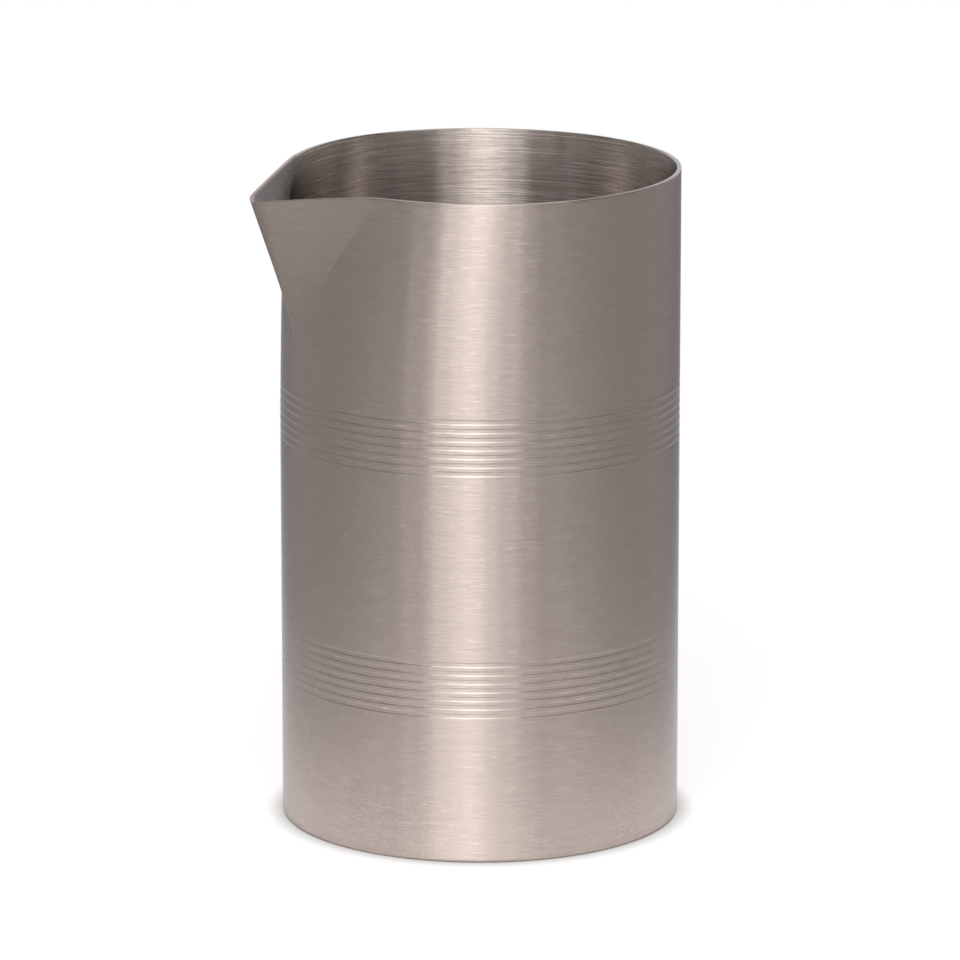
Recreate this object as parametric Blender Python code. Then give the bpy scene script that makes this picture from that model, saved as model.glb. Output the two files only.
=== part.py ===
# Cocktail mixing tin in brushed steel: a grooved sleeve, a folded pouring spout and a pressed base pan.
# Units are metres and +Z is up. The tin stands on z = 0, its axis is Z and its spout points along -X.

import math

import bmesh
import bpy

# Sleeve: a straight tube of sheet steel
RIM_HEIGHT = 0.1456
OUTER_RADIUS = 0.044
SHEET = 0.001
RIM_ROUND = 0.0004
FOOT_ROUND = 0.0008
ROUND_STEPS = 3
SEGMENTS = 64

# Grip grooves, turned into the sleeve in two bands
GROOVES_PER_BAND = 7
GROOVE_PITCH = 0.0019
GROOVE_WIDTH = 0.0012
GROOVE_FLOOR = 0.0007
GROOVE_DEPTH = 0.00007
BAND_CENTRES = (0.0924, 0.0387)

# Spout: two flanks that meet in a rounded fold, seated in a V notch in the sleeve
SPOUT_ROOT = 0.1105
FOLD_REACH = 0.0112
FOLD_POWER = 1.3
NOSE_RADIUS = 0.007
NOSE_DIP = 0.0042
DIP_POWER = 1.22
CREASE_ANGLE = math.radians(38)
CREASE_POWER = 0.92
ROOT_SHARE = 0.05
SPOUT_LEVELS = 8
NOSE_STEPS = 8
FLANK_STEPS = 4
LEAST_NOSE_RADIUS = 0.00025
CUTTER_MARGIN = 0.004
CUTTER_LEVELS = 16

# Mouth: folding the spout leaves it slightly egg-shaped, drawn in at the creases and proud beside them
EGG_ROOT = 0.092
EGG_LEVELS = 6
EGG_PULL = 0.00115
EGG_BULGE = 0.0005
BULGE_ANGLE = math.radians(84)
BULGE_END = math.radians(130)

# Base pan, pressed from slightly thicker sheet
FLOOR_THICKNESS = 0.0012
FLANGE_HEIGHT = 0.006
COVE_RADIUS = 0.0025
PAN_EDGE_ROUND = 0.0003

# Clearance along each welded seam
SEAM_GAP = 0.0003
SEAM_ANGLE = SEAM_GAP / OUTER_RADIUS

SPOUT_HEIGHT = RIM_HEIGHT - SPOUT_ROOT
STEEL_COLOUR = (0.62, 0.54, 0.48, 1.0)


def clear_scene():
    for item in list(bpy.data.objects):
        bpy.data.objects.remove(item, do_unlink=True)


def brushed_steel(name, roughness):
    material = bpy.data.materials.new(name)
    material.use_nodes = True
    shader = material.node_tree.nodes["Principled BSDF"]
    shader.inputs["Base Color"].default_value = STEEL_COLOUR
    shader.inputs["Metallic"].default_value = 1.0
    shader.inputs["Roughness"].default_value = roughness
    return material


def add_object(name, bm, material=None):
    bmesh.ops.recalc_face_normals(bm, faces=bm.faces)
    mesh = bpy.data.meshes.new(name)
    bm.to_mesh(mesh)
    bm.free()
    mesh.shade_smooth()
    mesh.set_sharp_from_angle(angle=math.radians(30))
    if material:
        mesh.materials.append(material)
    item = bpy.data.objects.new(name, mesh)
    bpy.context.scene.collection.objects.link(item)
    return item


def arc(centre, radius, start, end, steps):
    # Points in degrees from start to end, both included
    points = []
    for step in range(steps + 1):
        turn = math.radians(start + (end - start) * step / steps)
        points.append((centre[0] + radius * math.cos(turn), centre[1] + radius * math.sin(turn)))
    return points


def turned(profile, closed):
    # Revolve an (radius, height) profile about Z
    bm = bmesh.new()
    verts = [bm.verts.new((radius, 0.0, height)) for radius, height in profile]
    ends = verts[1:] + verts[:1] if closed else verts[1:]
    edges = [bm.edges.new(pair) for pair in zip(verts, ends)]
    bmesh.ops.spin(bm, geom=verts + edges, cent=(0, 0, 0), axis=(0, 0, 1), angle=math.tau,
                   steps=SEGMENTS, use_merge=True)
    bmesh.ops.remove_doubles(bm, verts=bm.verts, dist=1e-6)
    return bm


def loft(sections):
    # Skin a row of closed sections and cap both ends
    bm = bmesh.new()
    rings = []
    for section in sections:
        verts = [bm.verts.new(point) for point in section]
        rings.append([bm.edges.new(pair) for pair in zip(verts, verts[1:] + verts[:1])])
    for lower, upper in zip(rings, rings[1:]):
        bmesh.ops.bridge_loops(bm, edges=lower + upper)
    for ring in (rings[0], rings[-1]):
        bmesh.ops.contextual_create(bm, geom=ring)
    return bm


def place(out, side, height):
    # The spout is drawn along its own outward and sideways directions
    return (-out, side, height)


def share_of(height):
    # 0 at the spout's root, 1 at the rim
    return min(max((height - SPOUT_ROOT) / SPOUT_HEIGHT, 0.0), 1.0)


def crease_angle(share):
    # Half the opening of the notch, seen from the axis
    return CREASE_ANGLE * share ** CREASE_POWER


def egg_share(height):
    # 0 where the sleeve is still truly round, 1 at the rim
    return min(max((height - EGG_ROOT) / (RIM_HEIGHT - EGG_ROOT), 0.0), 1.0)


def ease(value):
    value = min(max(value, 0.0), 1.0)
    return value * value * (3.0 - 2.0 * value)


def egg_offset(angle, height):
    # How far the sleeve stands off its true round, at an angle from the spout
    crease = crease_angle(share_of(height))
    if angle < BULGE_ANGLE:
        rise = ease((angle - crease) / (BULGE_ANGLE - crease))
        offset = (EGG_PULL + EGG_BULGE) * rise - EGG_PULL
    else:
        offset = EGG_BULGE * ease((BULGE_END - angle) / (BULGE_END - BULGE_ANGLE))
    return offset * egg_share(height)


def groove(centre):
    inner = OUTER_RADIUS - GROOVE_DEPTH
    return [(OUTER_RADIUS, centre + GROOVE_WIDTH / 2), (inner, centre + GROOVE_FLOOR / 2),
            (inner, centre - GROOVE_FLOOR / 2), (OUTER_RADIUS, centre - GROOVE_WIDTH / 2)]


def sleeve_profile():
    inner = OUTER_RADIUS - SHEET
    rim = RIM_HEIGHT - RIM_ROUND
    levels = [SPOUT_ROOT + SPOUT_HEIGHT * step / EGG_LEVELS for step in range(EGG_LEVELS)]
    profile = arc((OUTER_RADIUS - RIM_ROUND, rim), RIM_ROUND, 90, 0, ROUND_STEPS)
    profile += [(OUTER_RADIUS, height) for height in reversed(levels)]
    for centre in BAND_CENTRES:
        top = centre + GROOVE_PITCH * (GROOVES_PER_BAND - 1) / 2
        for index in range(GROOVES_PER_BAND):
            profile += groove(top - GROOVE_PITCH * index)
    profile += arc((OUTER_RADIUS - FOOT_ROUND, FOOT_ROUND), FOOT_ROUND, 0, -90, ROUND_STEPS)
    profile.append((inner, 0.0))
    profile += [(inner, height) for height in levels]
    profile += arc((inner + RIM_ROUND, rim), RIM_ROUND, 180, 90, ROUND_STEPS)
    return profile


def notch_cutter():
    # A curved wedge with radial sides that clears the spout by half the seam on every side
    low = SPOUT_ROOT + ROOT_SHARE * SPOUT_HEIGHT - SEAM_GAP
    high = RIM_HEIGHT + CUTTER_MARGIN
    sections = []
    for step in range(CUTTER_LEVELS + 1):
        height = low + (high - low) * step / CUTTER_LEVELS
        angle = math.degrees(crease_angle((height - SPOUT_ROOT) / SPOUT_HEIGHT) + SEAM_ANGLE / 2)
        outline = arc((0.0, 0.0), OUTER_RADIUS + CUTTER_MARGIN, -angle, angle, NOSE_STEPS)
        outline += arc((0.0, 0.0), OUTER_RADIUS - CUTTER_MARGIN, angle, -angle, NOSE_STEPS)
        sections.append([place(out, side, height) for out, side in outline])
    cutter = add_object("notch_cutter", loft(sections))
    cutter.hide_render = True
    cutter.display_type = "WIRE"
    return cutter


def wall_sleeve():
    bm = turned(sleeve_profile(), closed=True)
    for vert in bm.verts:
        radius = math.hypot(vert.co.x, vert.co.y)
        offset = egg_offset(abs(math.atan2(vert.co.y, -vert.co.x)), vert.co.z)
        vert.co.x *= 1.0 + offset / radius
        vert.co.y *= 1.0 + offset / radius
    sleeve = add_object("wall_sleeve", bm, brushed_steel("sleeve_brushed_steel", 0.34))
    cut = sleeve.modifiers.new("spout_notch", "BOOLEAN")
    cut.object = notch_cutter()
    cut.operation = "DIFFERENCE"
    cut.solver = "EXACT"
    return sleeve


def spout_half(share, depth):
    # One half of a level line in (out, side), from the crease to the nose, at a depth below the outer face
    edge = crease_angle(share) - SEAM_ANGLE / 2
    crease = OUTER_RADIUS - EGG_PULL * egg_share(SPOUT_ROOT + share * SPOUT_HEIGHT)
    end = (crease * math.cos(edge), crease * math.sin(edge))
    sink = EGG_PULL * egg_share(SPOUT_ROOT) * (1.0 - share)
    fold = OUTER_RADIUS - sink + FOLD_REACH * share ** FOLD_POWER
    half_fold = math.atan2(end[1], fold - end[0])
    lean = math.pi / 2 - half_fold
    crease -= depth / math.cos(edge - lean)
    radius = max(NOSE_RADIUS * share - depth, LEAST_NOSE_RADIUS)
    centre = fold - (depth + radius) / math.sin(half_fold)
    nose = arc((centre, 0.0), radius, math.degrees(lean), 0, NOSE_STEPS // 2)
    start = (crease * math.cos(edge), crease * math.sin(edge))
    flank = []
    for step in range(FLANK_STEPS):
        along = step / FLANK_STEPS
        flank.append((start[0] + (nose[0][0] - start[0]) * along, start[1] + (nose[0][1] - start[1]) * along))
    return flank + nose


def spout_line(share, depth):
    # A whole level line, dipping from both creases to the nose
    half = spout_half(share, depth)
    width = half[0][1]
    points = [(out, -side) for out, side in half] + half[-2::-1]
    line = []
    for out, side in points:
        dip = NOSE_DIP * (1.0 - abs(side) / width) ** DIP_POWER
        line.append(place(out, side, SPOUT_ROOT + share * (SPOUT_HEIGHT - dip)))
    return line


def spout_section(share, inset):
    return spout_line(share, inset) + spout_line(share, SHEET - inset)[::-1]


def pouring_spout():
    brow = 1.0 - RIM_ROUND / SPOUT_HEIGHT
    shares = [ROOT_SHARE + (brow - ROOT_SHARE) * step / SPOUT_LEVELS for step in range(SPOUT_LEVELS)]
    sections = [spout_section(share, 0.0) for share in shares]
    for across, up in arc((0.0, 0.0), RIM_ROUND, 0, 90, ROUND_STEPS):
        sections.append(spout_section(brow + up / SPOUT_HEIGHT, RIM_ROUND - across))
    return add_object("pouring_spout", loft(sections), brushed_steel("spout_brushed_steel", 0.34))


def base_pan():
    outer = OUTER_RADIUS - SHEET - SEAM_GAP
    inner = outer - SHEET
    lip = SHEET / 2
    profile = [(0.0, 0.0)]
    profile += arc((outer - PAN_EDGE_ROUND, PAN_EDGE_ROUND), PAN_EDGE_ROUND, -90, 0, ROUND_STEPS)
    profile += arc((outer - lip, FLANGE_HEIGHT - lip), lip, 0, 180, 2 * ROUND_STEPS)
    profile += arc((inner - COVE_RADIUS, FLOOR_THICKNESS + COVE_RADIUS), COVE_RADIUS, 0, -90, 2 * ROUND_STEPS)
    profile.append((0.0, FLOOR_THICKNESS))
    return add_object("base_pan", turned(profile, closed=False), brushed_steel("base_brushed_steel", 0.38))


clear_scene()
wall_sleeve()
pouring_spout()
base_pan()
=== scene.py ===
import math

import bmesh
import bpy
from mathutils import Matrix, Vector


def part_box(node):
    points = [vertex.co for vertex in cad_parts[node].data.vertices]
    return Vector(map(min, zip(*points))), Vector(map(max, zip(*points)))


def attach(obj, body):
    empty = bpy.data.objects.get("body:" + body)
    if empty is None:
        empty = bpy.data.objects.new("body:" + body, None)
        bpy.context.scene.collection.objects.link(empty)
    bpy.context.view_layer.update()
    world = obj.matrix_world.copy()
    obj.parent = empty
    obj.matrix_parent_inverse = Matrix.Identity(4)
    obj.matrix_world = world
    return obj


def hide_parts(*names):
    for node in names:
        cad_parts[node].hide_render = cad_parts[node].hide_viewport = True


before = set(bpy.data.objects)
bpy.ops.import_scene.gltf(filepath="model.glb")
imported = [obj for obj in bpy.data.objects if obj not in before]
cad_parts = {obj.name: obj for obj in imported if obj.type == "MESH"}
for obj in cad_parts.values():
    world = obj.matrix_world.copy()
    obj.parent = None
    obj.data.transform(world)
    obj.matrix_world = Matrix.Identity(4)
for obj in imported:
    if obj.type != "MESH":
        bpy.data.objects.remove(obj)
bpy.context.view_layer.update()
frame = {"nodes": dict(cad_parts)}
print("frame loaded:", ", ".join(frame["nodes"]))

# Everything below is in metres, in the frame's own axes: +Z up, spout towards -X
tin = {
    "rim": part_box("wall_sleeve")[1].z,
    "radius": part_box("wall_sleeve")[1].x,
    "sheet": 0.001,
    "rimRound": 0.0002,
    "rimSteps": 8,
    "crispAngle": math.radians(14),  # edges that turn more than this stay crisp
    "touch": 1e-6,                   # points nearer than this are one point
    "levelClimb": 0.02,              # share of the radius added to v, so level faces are brushed round too
}


def toLinear(hexColour):
    values = [int(hexColour[place:place + 2], 16) / 255 for place in (1, 3, 5)]
    return [v / 12.92 if v <= 0.04045 else ((v + 0.055) / 1.055) ** 2.4 for v in values] + [1.0]


def addNode(tree, kind, inputs, **settings):
    node = tree.nodes.new(kind)
    for key, value in settings.items():
        setattr(node, key, value)
    for socket, value in inputs.items():
        if isinstance(value, bpy.types.NodeSocket):
            tree.links.new(value, node.inputs[socket])
        else:
            node.inputs[socket].default_value = value
    return node


def arc(centre, radius, start, end, steps):
    turns = [math.radians(start + (end - start) * step / steps) for step in range(steps + 1)]
    return [(centre[0] + radius * math.cos(turn), centre[1] + radius * math.sin(turn)) for turn in turns]


# Camera, at the photograph's angle

view = {
    "azimuth": math.radians(-22.0),
    "elevation": math.radians(13.656),
    "distance": 1.4926,
    "lens": 253.39,
    "sensor": 36.0,
    "lift": 0.00204,          # how far the camera stands up the picture from its line to the middle
}


def aim(azimuth, elevation):
    # unit vector from the tin towards a point seen at this azimuth and elevation
    return Vector((math.sin(azimuth) * math.cos(elevation), -math.cos(azimuth) * math.cos(elevation),
                   math.sin(elevation)))


middle = Vector((0.0, 0.0, tin["rim"] / 2))


def placeCamera():
    back = aim(view["azimuth"], view["elevation"])
    turn = back.to_track_quat("Z", "Y")
    data = bpy.data.cameras.new("frontCamera")
    data.lens = view["lens"]
    data.sensor_width = view["sensor"]
    item = bpy.data.objects.new("frontCamera", data)
    item.rotation_euler = turn.to_euler()
    item.location = middle + back * view["distance"] + turn @ Vector((0.0, view["lift"], 0.0))
    bpy.context.scene.collection.objects.link(item)
    bpy.context.scene.camera = item


placeCamera()
print("camera placed")


# Floor and light

floorLook = {
    "size": 6.0,
    "colour": "#E2E1DF",
    "white": (0.69, 0.80),    # added where the camera looks, at the tin and a metre behind it, to reach white
    "frontEdge": -0.115,      # the white paper, along and across the line of sight
    "frontFade": 0.02,
    "halfWidth": 0.109,
    "widen": 0.0695,
    "sideFade": 0.02,
    "contact": 0.0045,        # reach of the shadow that the foot presses into the white
    "darkest": 0.15,          # open share of the view up at which no white is left
}


def paperFloor():
    # matt studio paper: an even pale tone with no shine, lifted to white round the tin
    material = bpy.data.materials.new("matt_white_paper")
    material.use_nodes = True
    tree = material.node_tree
    tree.nodes.clear()
    place = addNode(tree, "ShaderNodeTexCoord", {})
    along = addNode(tree, "ShaderNodeMapping", {"Vector": place.outputs["Object"],
                                                "Rotation": (0.0, 0.0, -view["azimuth"])})
    axes = addNode(tree, "ShaderNodeSeparateXYZ", {"Vector": along.outputs["Vector"]})
    front = addNode(tree, "ShaderNodeMapRange",
                    {"Value": axes.outputs["Y"], "From Min": floorLook["frontEdge"] - floorLook["frontFade"],
                     "From Max": floorLook["frontEdge"]}, interpolation_type="SMOOTHSTEP")
    across = addNode(tree, "ShaderNodeMath", {0: axes.outputs["X"]}, operation="ABSOLUTE")
    spread = addNode(tree, "ShaderNodeMath",
                     {0: axes.outputs["Y"], 1: -floorLook["widen"], 2: across.outputs[0]},
                     operation="MULTIPLY_ADD")
    side = addNode(tree, "ShaderNodeMapRange",
                   {"Value": spread.outputs[0], "From Min": floorLook["halfWidth"] + floorLook["sideFade"],
                    "From Max": floorLook["halfWidth"]}, interpolation_type="SMOOTHSTEP")
    paper = addNode(tree, "ShaderNodeMath", {0: front.outputs["Result"], 1: side.outputs["Result"]},
                    operation="MULTIPLY")
    # the steel reflects the same white that the picture shows
    path = addNode(tree, "ShaderNodeLightPath", {})
    seen = addNode(tree, "ShaderNodeMath",
                   {0: path.outputs["Is Camera Ray"], 1: path.outputs["Is Glossy Ray"]},
                   operation="MAXIMUM")
    seen = addNode(tree, "ShaderNodeMath", {0: seen.outputs[0], 1: path.outputs["Is Transmission Ray"]},
                   operation="MAXIMUM")
    lift = addNode(tree, "ShaderNodeMath", {0: paper.outputs[0], 1: seen.outputs[0]}, operation="MULTIPLY")
    near = addNode(tree, "ShaderNodeAmbientOcclusion", {"Distance": floorLook["contact"]})
    clear = addNode(tree, "ShaderNodeMapRange",
                    {"Value": near.outputs["AO"], "From Min": floorLook["darkest"]})
    lift = addNode(tree, "ShaderNodeMath", {0: lift.outputs[0], 1: clear.outputs["Result"]},
                   operation="MULTIPLY")
    white = addNode(tree, "ShaderNodeMapRange", {"Value": axes.outputs["Y"], "To Min": floorLook["white"][0],
                                                 "To Max": floorLook["white"][1]})
    lift = addNode(tree, "ShaderNodeMath", {0: lift.outputs[0], 1: white.outputs["Result"]},
                   operation="MULTIPLY")
    glow = addNode(tree, "ShaderNodeEmission", {"Strength": lift.outputs[0]})
    matt = addNode(tree, "ShaderNodeBsdfDiffuse", {"Color": toLinear(floorLook["colour"])})
    both = addNode(tree, "ShaderNodeAddShader", {0: matt.outputs[0], 1: glow.outputs[0]})
    addNode(tree, "ShaderNodeOutputMaterial", {"Surface": both.outputs[0]})
    return material


def layFloor():
    bm = bmesh.new()
    bmesh.ops.create_grid(bm, x_segments=1, y_segments=1, size=floorLook["size"] / 2)
    mesh = bpy.data.meshes.new("floor")
    bm.to_mesh(mesh)
    bm.free()
    mesh.materials.append(paperFloor())
    item = bpy.data.objects.new("floor", mesh)
    bpy.context.scene.collection.objects.link(item)


roomLook = {
    "front": 1.10,            # radiance of the pale room, behind the camera and beside the tin
    "side": 0.62,
    "sideFrom": -0.2,         # cosine from the camera's direction below which only the side's is left
    "ceiling": 0.0,           # share of it left overhead
    "fall": (math.radians(5), math.radians(32)),
    "screen": 1.0,            # a white screen stands behind the tin
    "screenHeight": math.radians(12),
    "screenEdge": (math.radians(40), math.radians(24)),
}


def paleRoom():
    world = bpy.data.worlds.new("pale_room")
    world.use_nodes = True
    tree = world.node_tree
    tree.nodes.clear()
    place = addNode(tree, "ShaderNodeTexCoord", {})
    facing = addNode(tree, "ShaderNodeVectorMath",
                     {0: place.outputs["Generated"], 1: aim(view["azimuth"], 0.0)}, operation="DOT_PRODUCT")
    ahead = addNode(tree, "ShaderNodeMapRange",
                    {"Value": facing.outputs["Value"], "From Min": roomLook["sideFrom"], "From Max": 1.0,
                     "To Min": roomLook["side"], "To Max": roomLook["front"]},
                    interpolation_type="SMOOTHSTEP")
    up = addNode(tree, "ShaderNodeSeparateXYZ", {"Vector": place.outputs["Generated"]})
    fall = addNode(tree, "ShaderNodeMapRange",
                   {"Value": up.outputs["Z"], "From Min": math.sin(roomLook["fall"][0]),
                    "From Max": math.sin(roomLook["fall"][1]), "To Min": 1.0, "To Max": roomLook["ceiling"]},
                   interpolation_type="SMOOTHSTEP")
    room = addNode(tree, "ShaderNodeMath", {0: ahead.outputs["Result"], 1: fall.outputs["Result"]},
                   operation="MULTIPLY")
    screenAim = aim(view["azimuth"] + math.pi, roomLook["screenHeight"])
    behind = addNode(tree, "ShaderNodeVectorMath", {0: place.outputs["Generated"], 1: screenAim},
                     operation="DOT_PRODUCT")
    screen = addNode(tree, "ShaderNodeMapRange",
                     {"Value": behind.outputs["Value"], "From Min": math.cos(roomLook["screenEdge"][0]),
                      "From Max": math.cos(roomLook["screenEdge"][1]), "To Max": roomLook["screen"]},
                     interpolation_type="SMOOTHSTEP")
    both = addNode(tree, "ShaderNodeMath", {0: room.outputs[0], 1: screen.outputs["Result"]},
                   operation="MAXIMUM")
    sky = addNode(tree, "ShaderNodeBackground", {"Strength": both.outputs[0]})
    addNode(tree, "ShaderNodeOutputWorld", {"Surface": sky.outputs[0]})
    bpy.context.scene.world = world


softbox = {
    "distance": 1.6,
    "gap": 0.01,              # between layers
    # each layer of the diffuser: left and right of the camera, bottom and top, in degrees, and its radiance
    "layers": ((-44, 32, 0, 9, 0.85), (-32, 2, 0, 26, 0.32), (-26, -4, 0, 26, 0.20),
               (-25, 19, 26, 62, 1.02), (-16, 8, 26, 62, 0.92), (-10, 1, 26, 62, 0.62)),
    # size, height and radiance of the one above, which lights the floor and the rim
    "overhead": (1.4, 1.5, 0.8),
}


def hangLamp(name, place, back, width, height, radiance):
    data = bpy.data.lights.new(name, "AREA")
    data.shape = "RECTANGLE"
    data.size = width
    data.size_y = height
    data.energy = radiance * math.pi * width * height
    item = bpy.data.objects.new(name, data)
    item.location = place
    item.rotation_euler = back.to_track_quat("Z", "Y").to_euler()
    item.visible_camera = False
    bpy.context.scene.collection.objects.link(item)


def hangSoftboxes():
    for number, (left, right, bottom, top, radiance) in enumerate(softbox["layers"]):
        back = aim(view["azimuth"] + math.radians((left + right) / 2), math.radians((bottom + top) / 2))
        distance = softbox["distance"] + softbox["gap"] * number
        width = 2 * distance * math.tan(math.radians((right - left) / 2))
        height = 2 * distance * math.tan(math.radians((top - bottom) / 2))
        hangLamp("softbox_%d" % number, middle + back * distance, back, width, height, radiance)
    size, height, radiance = softbox["overhead"]
    hangLamp("overhead_softbox", Vector((0.0, 0.0, height)), Vector((0.0, 0.0, 1.0)), size, size, radiance)


layFloor()
paleRoom()
hangSoftboxes()
bpy.context.scene.view_settings.view_transform = "Standard"
print("floor and light set")


# Brushed stainless steel sheet

outsideLook = {
    "dark": "#D0C1B9",
    "light": "#D8C8C1",
    "line": (7.0, 0.26),       # mm along and across the brushing, about a pixel; the real lines are finer
    "roughness": (0.23, 0.26),
    "scratch": (0.15, 0.003),  # mm, lines too fine to show singly, which spread the light up and down
    "tilt": 2.0,               # slope of their sides
    "lean": 0.16,              # their upper sides are the wider ones
    "gouge": (3.0, 0.16),      # mm, stray short scratches
    "shine": "#E1D2CA",
}
insideLook = {
    "dark": "#C2B6AF",
    "light": "#E9DDD4",
    "line": (7.0, 0.24),
    "roughness": (0.21, 0.26),
    "scratch": (0.5, 0.004),
    "tilt": 2.6,
    "lean": -0.15,
    "gouge": (45.0, 0.18),     # mm, the few long bright scratches
    "shine": "#FBF1E9",
}
baseLook = {
    "dark": "#C4B3AB",
    "light": "#D6C5BD",
    "line": (20.0, 0.40),
    "roughness": (0.25, 0.30),
    "scratch": (12.0, 0.05),
    "tilt": 2.2,
    "lean": 0.0,
    "gouge": None,
}
# the rim and the grooves' lower lips, which look up, are lighter: a painted highlight; a strip on the fold
# near the spout's root
# is lighter: a painted glint; the grooves' upper lips, which look down, are darker: painted shade; the sheet
# inside the spout is darker and greyer, painted shade, and has no long scratches
foldGlintLook = dict(outsideLook, dark="#EFE5DE", light="#FFF8F2")
lipHighlightLook = dict(outsideLook, dark="#E4D6CD", light="#EEE0D7")
browShadeLook = dict(outsideLook, dark="#BFB0A9", light="#CABBB4")
throatShadeLook = dict(insideLook, dark="#BDB6B4", light="#C9C2C0", gouge=None)
steel = {
    "edgeTint": "#D6DADF",     # at a grazing look the lines shade one another, which dims and cools the steel
    "anisotropy": 1.0,
    "smearTurn": 0.25,         # a quarter turn, so that the lines smear light across themselves
    "noiseRange": (0.3, 0.7),  # noise values that give a pattern's two ends
    "lineDetail": 2.0,
    "lineRoughness": 0.6,
    "rubCoarser": 2.0,         # the roughness changes over patches this much larger than the lines
    "rubShift": (3.0, 7.0, 11.0),
    "gougeRange": (0.67, 0.74),  # noise values from which a scratch shows, and shows fully
    "gougeDetail": 0.0,
    "scratchDetail": 1.0,
}
mmPerMetre = 1000


def lineScale(size, coarser=1.0):
    # Mapping scale of a pattern with this size in mm, along and across the brushing
    along, across = [mmPerMetre / (value * coarser) for value in size]
    return along, along, across


def brushedSteel(name, look, rings=False):
    # stainless sheet, brushed round the tin: a warm grey metal whose lines smear reflections across
    # themselves and keep them crisp along
    material = bpy.data.materials.new(name)
    material.use_nodes = True
    tree = material.node_tree
    shader = tree.nodes["Principled BSDF"]
    place = addNode(tree, "ShaderNodeTexCoord", {})
    coords = place.outputs["Object"]
    if rings:
        flat = addNode(tree, "ShaderNodeVectorMath", {0: coords, 1: (1.0, 1.0, 0.0)}, operation="MULTIPLY")
        away = addNode(tree, "ShaderNodeVectorMath", {0: flat.outputs[0]}, operation="LENGTH")
        axes = addNode(tree, "ShaderNodeSeparateXYZ", {"Vector": coords})
        height = addNode(tree, "ShaderNodeMath", {0: axes.outputs["Z"], 1: away.outputs["Value"]},
                         operation="ADD")
        coords = addNode(tree, "ShaderNodeCombineXYZ", {"X": axes.outputs["X"], "Y": axes.outputs["Y"],
                                                        "Z": height.outputs[0]}).outputs[0]
    noiseLow, noiseHigh = steel["noiseRange"]
    stretch = addNode(tree, "ShaderNodeMapping", {"Vector": coords, "Scale": lineScale(look["line"])})
    lines = addNode(tree, "ShaderNodeTexNoise", {"Vector": stretch.outputs[0], "Scale": 1.0,
                                                 "Detail": steel["lineDetail"],
                                                 "Roughness": steel["lineRoughness"]})
    ramp = addNode(tree, "ShaderNodeValToRGB", {"Fac": lines.outputs["Fac"]})
    ramp.color_ramp.elements[0].position = noiseLow
    ramp.color_ramp.elements[0].color = toLinear(look["dark"])
    ramp.color_ramp.elements[1].position = noiseHigh
    ramp.color_ramp.elements[1].color = toLinear(look["light"])
    colour = ramp.outputs["Color"]
    if look["gouge"]:
        drawn = addNode(tree, "ShaderNodeMapping", {"Vector": coords, "Scale": lineScale(look["gouge"])})
        deep = addNode(tree, "ShaderNodeTexNoise", {"Vector": drawn.outputs[0], "Scale": 1.0,
                                                    "Detail": steel["gougeDetail"]})
        shown = addNode(tree, "ShaderNodeMapRange", {"Value": deep.outputs["Fac"],
                                                     "From Min": steel["gougeRange"][0],
                                                     "From Max": steel["gougeRange"][1]})
        # sockets 6, 7 and 2 are the two colours and the mixed one
        colour = addNode(tree, "ShaderNodeMix",
                         {0: shown.outputs["Result"], 6: colour, 7: toLinear(look["shine"])},
                         data_type="RGBA").outputs[2]
    tree.links.new(colour, shader.inputs["Base Color"])
    drag = addNode(tree, "ShaderNodeMapping", {"Vector": coords, "Location": steel["rubShift"],
                                               "Scale": lineScale(look["line"], steel["rubCoarser"])})
    rub = addNode(tree, "ShaderNodeTexNoise", {"Vector": drag.outputs[0], "Scale": 1.0,
                                               "Detail": steel["lineDetail"]})
    rough = addNode(tree, "ShaderNodeMapRange",
                    {"Value": rub.outputs["Fac"], "From Min": noiseLow, "From Max": noiseHigh,
                     "To Min": look["roughness"][0], "To Max": look["roughness"][1]})
    tree.links.new(rough.outputs["Result"], shader.inputs["Roughness"])
    brushing = addNode(tree, "ShaderNodeTangent", {}, direction_type="UV_MAP", uv_map="brushing")
    tree.links.new(brushing.outputs["Tangent"], shader.inputs["Tangent"])
    # the sides of each line lean up or down the sheet
    face = addNode(tree, "ShaderNodeNewGeometry", {})
    climb = addNode(tree, "ShaderNodeVectorMath", {0: face.outputs["Normal"], 1: brushing.outputs["Tangent"]},
                    operation="CROSS_PRODUCT")
    comb = addNode(tree, "ShaderNodeMapping", {"Vector": coords, "Scale": lineScale(look["scratch"])})
    scratch = addNode(tree, "ShaderNodeTexNoise", {"Vector": comb.outputs[0], "Scale": 1.0,
                                                   "Detail": steel["scratchDetail"]})
    slope = addNode(tree, "ShaderNodeMapRange",
                    {"Value": scratch.outputs["Fac"], "To Min": look["lean"] - look["tilt"] / 2,
                     "To Max": look["lean"] + look["tilt"] / 2}, clamp=False)
    lean = addNode(tree, "ShaderNodeVectorMath", {0: climb.outputs[0], "Scale": slope.outputs["Result"]},
                   operation="SCALE")
    lean = addNode(tree, "ShaderNodeVectorMath", {0: lean.outputs[0], 1: face.outputs["Normal"]},
                   operation="ADD")
    lean = addNode(tree, "ShaderNodeVectorMath", {0: lean.outputs[0]}, operation="NORMALIZE")
    tree.links.new(lean.outputs[0], shader.inputs["Normal"])
    shader.inputs["Metallic"].default_value = 1.0
    shader.inputs["Specular Tint"].default_value = toLinear(steel["edgeTint"])
    shader.inputs["Anisotropic"].default_value = steel["anisotropy"]
    shader.inputs["Anisotropic Rotation"].default_value = steel["smearTurn"]
    return material


outsideSteel = brushedSteel("brushed_steel_outside", outsideLook)
insideSteel = brushedSteel("brushed_steel_inside", insideLook)
# lighter steel for a strip along the spout's fold: a painted glint
foldGlintSteel = brushedSteel("painted_glint_steel_fold", foldGlintLook)
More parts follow.
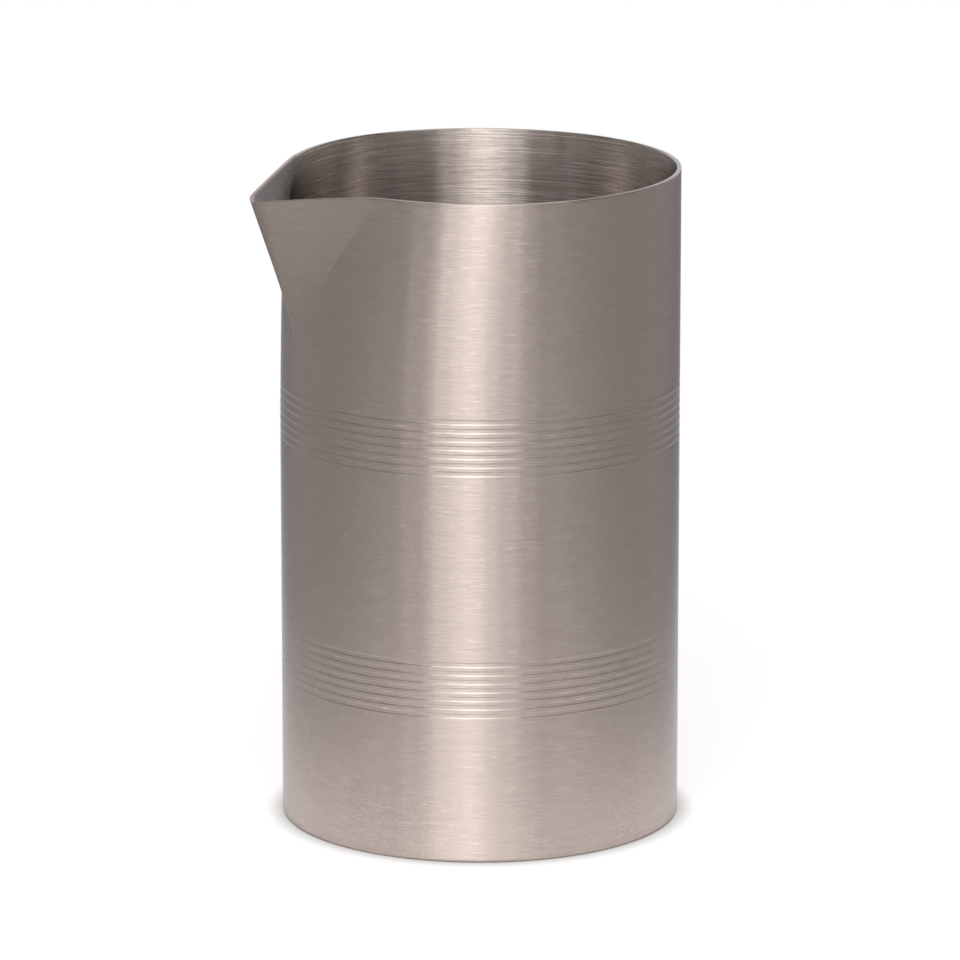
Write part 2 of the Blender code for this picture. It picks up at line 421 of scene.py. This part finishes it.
# lighter steel for the rim and the grooves' lower lips, which look up: a painted highlight
lipHighlightSteel = brushedSteel("painted_highlight_steel_lip", lipHighlightLook)
# darker steel for the grooves' upper lips, which look down: painted shade
browShadeSteel = brushedSteel("painted_shade_steel_lip", browShadeLook)
# darker, greyer steel inside the spout: painted shade
throatShadeSteel = brushedSteel("painted_shade_steel_throat", throatShadeLook)
baseSteel = brushedSteel("ring_brushed_steel", baseLook, rings=True)
print("steel mixed")


def finishPiece(name, bm, node, materials, pick):
    # brushing runs round the tin: u follows the turn about Z, v climbs the sheet
    bmesh.ops.recalc_face_normals(bm, faces=bm.faces)
    layer = bm.loops.layers.uv.new("brushing")
    for face in bm.faces:
        face.smooth = True
        face.material_index = pick(face)
        home = face.calc_center_median()
        facing = math.atan2(home.y, home.x)
        for loop in face.loops:
            spot = loop.vert.co
            turn = math.atan2(spot.y, spot.x) - facing
            turn = (turn + math.pi) % math.tau - math.pi
            away = math.hypot(spot.x, spot.y)
            loop[layer].uv = ((facing + turn) * tin["radius"], spot.z + tin["levelClimb"] * away)
    mesh = bpy.data.meshes.new(name)
    bm.to_mesh(mesh)
    bm.free()
    mesh.set_sharp_from_angle(angle=tin["crispAngle"])
    for material in materials:
        mesh.materials.append(material)
    item = bpy.data.objects.new(name, mesh)
    bpy.context.scene.collection.objects.link(item)
    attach(item, "root")
    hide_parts(node)
    print(name, "made:", len(mesh.polygons), "faces")


# Spout: its level lines are shared by the sleeve, whose notch follows the creases

spout = {
    "root": 0.1105,
    "foldReach": 0.0112,
    "foldPower": 1.3,
    "noseRadius": 0.007,
    "leastNose": 0.00025,
    "noseDip": 0.0042,
    "dipPower": 1.22,
    "creaseAngle": math.radians(38.0),
    "creasePower": 0.92,
    # folding the spout leaves the mouth slightly egg-shaped: drawn in at the creases, proud beside them
    "pull": 0.00115,
    "bulge": 0.0005,
    "bulgeAngle": math.radians(84),
    "bulgeEnd": math.radians(130),
    "eggRoot": 0.092,
    "levels": 44,
    "levelPower": 1.5,
    "flankSteps": 30,
    "noseSteps": 10,
    "paintedGlintWidth": 0.0005,    # the lighter line on the fold above the root, a painted glint
    "paintedGlintReach": 0.0098,
    "lipFacing": 0.6,         # faces that look up more than this are the rim
    "throatFacing": 0.2,      # and those that look into the tin more than this are the throat
}
spoutHeight = tin["rim"] - spout["root"]
roundShare = 1.0 - tin["rimRound"] / spoutHeight  # where the rim starts to round
levelShares = [roundShare * (step / spout["levels"]) ** spout["levelPower"]
               for step in range(spout["levels"] + 1)]


def shareOf(height):
    return min(max((height - spout["root"]) / spoutHeight, 0.0), 1.0)


def creaseAngle(share):
    return spout["creaseAngle"] * share ** spout["creasePower"]


def eggShare(height):
    return min(max((height - spout["eggRoot"]) / (tin["rim"] - spout["eggRoot"]), 0.0), 1.0)


def ease(value):
    value = min(max(value, 0.0), 1.0)
    return value * value * (3.0 - 2.0 * value)


def eggOffset(angle, height):
    # how far the sleeve stands off its true round, at an angle from the spout
    crease = creaseAngle(shareOf(height))
    if angle < spout["bulgeAngle"]:
        rise = ease((angle - crease) / (spout["bulgeAngle"] - crease))
        offset = (spout["pull"] + spout["bulge"]) * rise - spout["pull"]
    else:
        fall = ease((spout["bulgeEnd"] - angle) / (spout["bulgeEnd"] - spout["bulgeAngle"]))
        offset = spout["bulge"] * fall
    return offset * eggShare(height)


def spoutHalf(share, depth):
    # half a level line as (out, side), from the crease to the nose, at a depth below the outer face
    edge = creaseAngle(share)
    crease = tin["radius"] - spout["pull"] * eggShare(spout["root"] + share * spoutHeight)
    sink = spout["pull"] * eggShare(spout["root"]) * (1.0 - share)
    fold = tin["radius"] - sink + spout["foldReach"] * share ** spout["foldPower"]
    halfFold = math.atan2(crease * math.sin(edge), fold - crease * math.cos(edge))
    lean = math.pi / 2 - halfFold
    crease -= depth / math.cos(edge - lean)
    radius = max(spout["noseRadius"] * share - depth, spout["leastNose"])
    nose = arc((fold - (depth + radius) / math.sin(halfFold), 0.0), radius, math.degrees(lean), 0,
               spout["noseSteps"])
    start = Vector((crease * math.cos(edge), crease * math.sin(edge)))
    flank = [start.lerp(Vector(nose[0]), step / spout["flankSteps"]) for step in range(spout["flankSteps"])]
    return [tuple(point) for point in flank] + nose


def spoutLine(share, depth):
    half = spoutHalf(share, depth)
    line = []
    for out, side in [(out, -side) for out, side in half] + half[-2::-1]:
        dip = spout["noseDip"] * (1.0 - abs(side) / half[0][1]) ** spout["dipPower"]
        line.append(Vector((-out, side, spout["root"] + share * (spoutHeight - dip))))
    return line


def makeSpout():
    # rows climb the outer face, roll over the rim and go down the inner face
    rows = [(share, 0.0) for share in levelShares[1:-1]]
    for inset, up in arc((tin["rimRound"], 0.0), tin["rimRound"], 180, 90, tin["rimSteps"]):
        rows.append((roundShare + up / spoutHeight, inset))
    rows += [(share, tin["sheet"] - inset) for share, inset in reversed(rows)]
    lines = [spoutLine(share, depth) for share, depth in rows]
    stations = len(lines[0]) - 1
    bm = bmesh.new()
    bmesh.ops.create_grid(bm, x_segments=stations, y_segments=len(rows) - 1, size=1.0)
    for vert in bm.verts:
        station = round((vert.co.x + 1) / 2 * stations)
        row = round((vert.co.y + 1) / 2 * (len(rows) - 1))
        vert.co = lines[row][station]
    # close the root and both creases
    low = [edge for edge in bm.edges if edge.is_boundary and
           all(vert.co.z < lines[0][0].z + tin["touch"] for vert in edge.verts)]
    bmesh.ops.bridge_loops(bm, edges=low)
    for side in (-1, 1):
        ends = [edge for edge in bm.edges if edge.is_boundary and
                all(vert.co.y * side > 0 for vert in edge.verts)]
        bmesh.ops.contextual_create(bm, geom=ends)

    outside, throat, fold, lip = range(4)

    def pick(face):
        home = face.calc_center_median()
        # faces that look up, the spout's rim, get the lighter steel: a painted highlight
        if face.normal.z > spout["lipFacing"]:
            return lip
        # faces inside the spout get darker, greyer steel: painted shade
        if face.normal.x > spout["throatFacing"]:
            return throat
        # a thin strip along the fold near the root gets lighter steel: a painted glint
        paintedGlint = abs(home.y) < spout["paintedGlintWidth"] / 2 and home.z < spout["root"] + spout["paintedGlintReach"]
        return fold if paintedGlint else outside

    finishPiece("pouringSpout", bm, "pouring_spout",
                [outsideSteel, throatShadeSteel, foldGlintSteel, lipHighlightSteel], pick)


makeSpout()


# Sleeve: a sheet profile spun about Z, opened above the spout's root along the two creases

sleeve = {
    "columns": 240,
    "notchReach": math.radians(90),
    "slit": 0.0005,           # radians, keeps the two ends of the spin apart until they are joined
    "footRound": 0.0008,
    "footSteps": 8,
    "grooves": 7,
    "pitch": 0.0019,
    "grooveWidth": 0.0012,
    "grooveFloor": 0.0007,
    "grooveDepth": 0.00007,
    "bands": (0.0924, 0.0387),
    "hold": 0.00018,          # plain strip beside a band that keeps its lips from shading the wall
    "insideFacing": 0.5,      # faces that look at the axis more than this are inside
    "lipFacing": 0.1,         # those that look up or down more than this are a groove's lips or the rim
}


def grooveCorners(centre):
    outer = tin["radius"]
    inner = outer - sleeve["grooveDepth"]
    return [(outer, centre + sleeve["grooveWidth"] / 2), (inner, centre + sleeve["grooveFloor"] / 2),
            (inner, centre - sleeve["grooveFloor"] / 2), (outer, centre - sleeve["grooveWidth"] / 2)]


def sleeveProfile():
    outer = tin["radius"]
    inner = outer - tin["sheet"]
    top = tin["rim"] - tin["rimRound"]
    levels = [spout["root"] + spoutHeight * share for share in levelShares[:-1]]
    profile = arc((outer - tin["rimRound"], top), tin["rimRound"], 90, 0, tin["rimSteps"])
    profile += [(outer, height) for height in reversed(levels)]
    for centre in sleeve["bands"]:
        first = centre + sleeve["pitch"] * (sleeve["grooves"] - 1) / 2
        reach = sleeve["grooveWidth"] / 2 + sleeve["hold"]
        profile.append((outer, first + reach))
        for number in range(sleeve["grooves"]):
            profile += grooveCorners(first - sleeve["pitch"] * number)
        profile.append((outer, 2 * centre - first - reach))
    profile += arc((outer - sleeve["footRound"], sleeve["footRound"]), sleeve["footRound"], 0, -90,
                   sleeve["footSteps"])
    profile += [(inner, 0.0)] + [(inner, height) for height in levels]
    profile += arc((inner + tin["rimRound"], top), tin["rimRound"], 180, 90, tin["rimSteps"])
    return profile


def openNotch(bm):
    for vert in bm.verts:
        away = math.hypot(vert.co.x, vert.co.y)
        turn = math.atan2(vert.co.y, -vert.co.x)
        share = shareOf(vert.co.z)
        angle = abs(turn)
        if angle < sleeve["notchReach"]:
            part = (angle - sleeve["slit"]) / (sleeve["notchReach"] - sleeve["slit"])
            angle = creaseAngle(share) + part * (sleeve["notchReach"] - creaseAngle(share))
        away += eggOffset(angle, vert.co.z)
        side = 1 if turn > 0 else -1
        vert.co = Vector((-away * math.cos(angle), side * away * math.sin(angle), vert.co.z))
    touch = tin["touch"]
    below = [vert for vert in bm.verts if vert.co.z < spout["root"] + touch]
    bmesh.ops.remove_doubles(bm, verts=below, dist=touch)
    # faces through the sheet along each side of the notch
    tips = [vert for vert in bm.verts if abs(vert.co.y) < touch and vert.co.x < 0
            and abs(vert.co.z - spout["root"]) < touch]
    tip = bm.edges.new(tips)
    for side in (-1, 1):
        ends = [edge for edge in bm.edges if edge.is_boundary and edge is not tip and
                any(vert.co.y * side > touch for vert in edge.verts)]
        bmesh.ops.contextual_create(bm, geom=ends + [tip])


def makeSleeve():
    bm = bmesh.new()
    slit = sleeve["slit"]
    verts = [bm.verts.new((-away * math.cos(slit), -away * math.sin(slit), height))
             for away, height in sleeveProfile()]
    edges = [bm.edges.new(pair) for pair in zip(verts, verts[1:] + verts[:1])]
    bmesh.ops.spin(bm, geom=verts + edges, cent=(0, 0, 0), axis=(0, 0, 1), angle=math.tau - 2 * slit,
                   steps=sleeve["columns"], use_merge=False)
    openNotch(bm)

    outside, inside, lowerLip, upperLip = range(4)

    def pick(face):
        home = face.calc_center_median()
        away = math.hypot(home.x, home.y)
        if home.x * face.normal.x + home.y * face.normal.y < -sleeve["insideFacing"] * away:
            return inside
        if home.z < sleeve["footRound"] or abs(face.normal.z) < sleeve["lipFacing"]:
            return outside
        # faces that look up, the rim and the grooves' lower lips, get lighter steel, a painted highlight;
        # those that look down, the grooves' upper lips, get darker steel, painted shade
        return lowerLip if face.normal.z > 0 else upperLip

    finishPiece("sleeveWall", bm, "wall_sleeve",
                [outsideSteel, insideSteel, lipHighlightSteel, browShadeSteel], pick)


makeSleeve()


# Base pan: a pressed dish inside the sleeve's foot

base = {
    "floor": 0.0012,
    "flange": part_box("base_pan")[1].z,
    "cove": 0.0025,
    "edgeRound": 0.0003,
    "seam": 0.00005,          # between the flange and the sleeve
    "steps": 8,
    "columns": 180,
}


def makeBase():
    outer = tin["radius"] - tin["sheet"] - base["seam"]
    inner = outer - tin["sheet"]
    lip = tin["sheet"] / 2
    profile = [(0.0, 0.0)]
    profile += arc((outer - base["edgeRound"], base["edgeRound"]), base["edgeRound"], -90, 0, base["steps"])
    profile += arc((outer - lip, base["flange"] - lip), lip, 0, 180, 2 * base["steps"])
    profile += arc((inner - base["cove"], base["floor"] + base["cove"]), base["cove"], 0, -90, base["steps"])
    profile.append((0.0, base["floor"]))
    bm = bmesh.new()
    verts = [bm.verts.new((away, 0.0, height)) for away, height in profile]
    edges = [bm.edges.new(pair) for pair in zip(verts, verts[1:])]
    bmesh.ops.spin(bm, geom=verts + edges, cent=(0, 0, 0), axis=(0, 0, 1), angle=math.tau,
                   steps=base["columns"], use_merge=True)
    bmesh.ops.remove_doubles(bm, verts=bm.verts, dist=tin["touch"])
    finishPiece("basePan", bm, "base_pan", [baseSteel], lambda face: 0)


makeBase()
